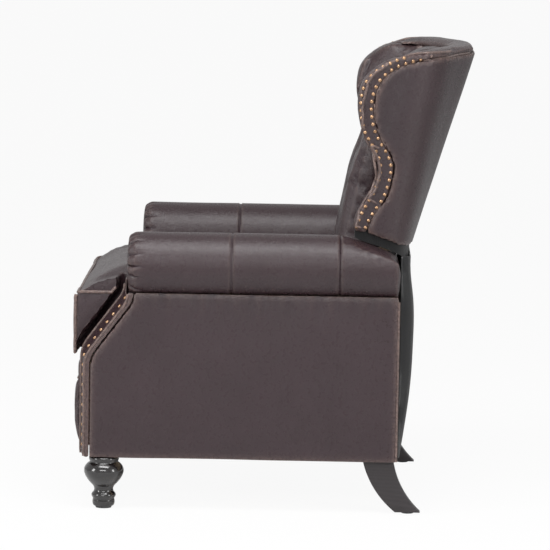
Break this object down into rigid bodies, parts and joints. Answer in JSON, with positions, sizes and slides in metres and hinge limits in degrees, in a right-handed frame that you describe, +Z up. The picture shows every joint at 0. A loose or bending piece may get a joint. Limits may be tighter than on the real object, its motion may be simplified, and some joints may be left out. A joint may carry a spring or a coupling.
{
  "type": "wingback recliner",
  "caption": "Push-back wingback recliner with rolled arms, nailhead borders, a T-shaped seat cushion, turned front legs and a linkage footrest.",
  "frame": {"origin": "on the floor, under the middle of the whole chair's box", "axes": "+X to the sitter's left, -Y the way the sitter faces, +Z up"},
  "size_m": [0.84, 0.952, 1.096],
  "materials": {
    "leather": "soft gloss, dark brown",
    "timber": "raw",
    "plywood": "raw",
    "turned_leg": "black gloss lacquer",
    "sabre_leg": "black satin lacquer",
    "glide": "matte",
    "nail_brass": "antique",
    "stretch_fabric": "matte black knit",
    "mechanism_steel": "black",
    "bolt_steel": "zinc plated",
    "spring_steel": "oiled"
  },
  "bodies": {
    "root": {"left_side_panel": "leather", "right_side_panel": "leather", "left_arm_pad": "leather", "right_arm_pad": "leather", "left_front_facing": "leather", "right_front_facing": "leather", "left_arm_frame": "timber", "right_arm_frame": "timber", "left_inner_arm_panel": "plywood", "right_inner_arm_panel": "plywood", "left_front_leg": "turned_leg", "right_front_leg": "turned_leg", "left_rear_leg": "sabre_leg", "right_rear_leg": "sabre_leg", "left_mech_plate": "mechanism_steel", "right_mech_plate": "mechanism_steel", "leg_glides": "glide", "front_rail": "timber", "rear_rail": "timber", "rear_curtain": "stretch_fabric", "mech_bolts": "bolt_steel", "arm_nailheads": "nail_brass"},
    "back": {"outer_back_cover": "leather", "back_border": "leather", "back_rails": "timber", "inside_back_cushion": "leather", "back_nailheads": "nail_brass", "tuft_buttons": "leather", "left_back_post": "timber", "right_back_post": "timber", "left_wing_pad": "leather", "right_wing_pad": "leather", "left_back_bracket": "mechanism_steel", "right_back_bracket": "mechanism_steel"},
    "swing_links": {"left_swing_link": "mechanism_steel", "right_swing_link": "mechanism_steel", "swing_tube": "mechanism_steel"},
    "seat": {"seat_rails": "timber", "seat_springs": "spring_steel", "seat_deck": "stretch_fabric", "seat_cushion": "leather", "left_seat_bracket": "mechanism_steel", "right_seat_bracket": "mechanism_steel"},
    "tong_a1": {"left_tong_a1": "mechanism_steel", "right_tong_a1": "mechanism_steel", "tong_tube": "mechanism_steel"},
    "tong_b1": {"left_tong_b1": "mechanism_steel", "right_tong_b1": "mechanism_steel"},
    "tong_a2": {"left_tong_a2": "mechanism_steel", "right_tong_a2": "mechanism_steel"},
    "tong_b2": {"left_tong_b2": "mechanism_steel", "right_tong_b2": "mechanism_steel"},
    "footrest": {"footrest_board": "timber", "footrest_pad": "leather", "left_footrest_bracket": "mechanism_steel", "right_footrest_bracket": "mechanism_steel"},
    "control_links": {"left_control_link": "mechanism_steel", "right_control_link": "mechanism_steel"}
  },
  "joints": [
    {"name": "back_recline", "type": "hinge", "parent": "root", "child": "back", "pos_m": [0, 0.225, 0.43], "axis": [-1, 0, 0], "range_deg": [0, 30]},
    {"name": "swing_link_pivot", "type": "hinge", "parent": "root", "child": "swing_links", "pos_m": [0, -0.23, 0.355], "axis": [-1, 0, 0], "range_deg": [0, 30]},
    {"name": "seat_hang", "type": "hinge", "parent": "swing_links", "child": "seat", "pos_m": [0, -0.20671, 0.26807], "axis": [-1, 0, 0], "range_deg": [-30, 0]},
    {"name": "footrest_extend", "type": "hinge", "parent": "seat", "child": "tong_a1", "pos_m": [0, -0.385, 0.165], "axis": [1, 0, 0], "range_deg": [0, 55]},
    {"name": "tong_cross_rear", "type": "hinge", "parent": "tong_a1", "child": "tong_b1", "pos_m": [0, -0.36857, 0.24227], "axis": [-1, 0, 0], "range_deg": [0, 110]},
    {"name": "tong_lower", "type": "hinge", "parent": "tong_b1", "child": "tong_a2", "pos_m": [0, -0.40566, 0.17252], "axis": [-1, 0, 0], "range_deg": [-110, 0]},
    {"name": "tong_cross_front", "type": "hinge", "parent": "tong_a2", "child": "tong_b2", "pos_m": [0, -0.38924, 0.24979], "axis": [-1, 0, 0], "range_deg": [0, 110]},
    {"name": "footrest_tilt", "type": "hinge", "parent": "tong_a2", "child": "footrest", "pos_m": [0, -0.37281, 0.32707], "axis": [-1, 0, 0], "range_deg": [0, 143]},
    {"name": "control_link_pivot", "type": "hinge", "parent": "tong_b2", "child": "control_links", "pos_m": [0, -0.42633, 0.18004], "axis": [-1, 0, 0], "range_deg": [-105.04, 0]}
  ],
  "couplings": [
    {"joint": "swing_link_pivot", "follows": "back_recline", "ratio": 1},
    {"joint": "seat_hang", "follows": "back_recline", "ratio": -1},
    {"joint": "tong_cross_rear", "follows": "footrest_extend", "ratio": 2},
    {"joint": "tong_lower", "follows": "footrest_extend", "ratio": -2},
    {"joint": "tong_cross_front", "follows": "footrest_extend", "ratio": 2},
    {"joint": "footrest_tilt", "follows": "footrest_extend", "ratio": 2.6},
    {"joint": "control_link_pivot", "follows": "footrest_extend", "ratio": -1.9097}
  ]
}
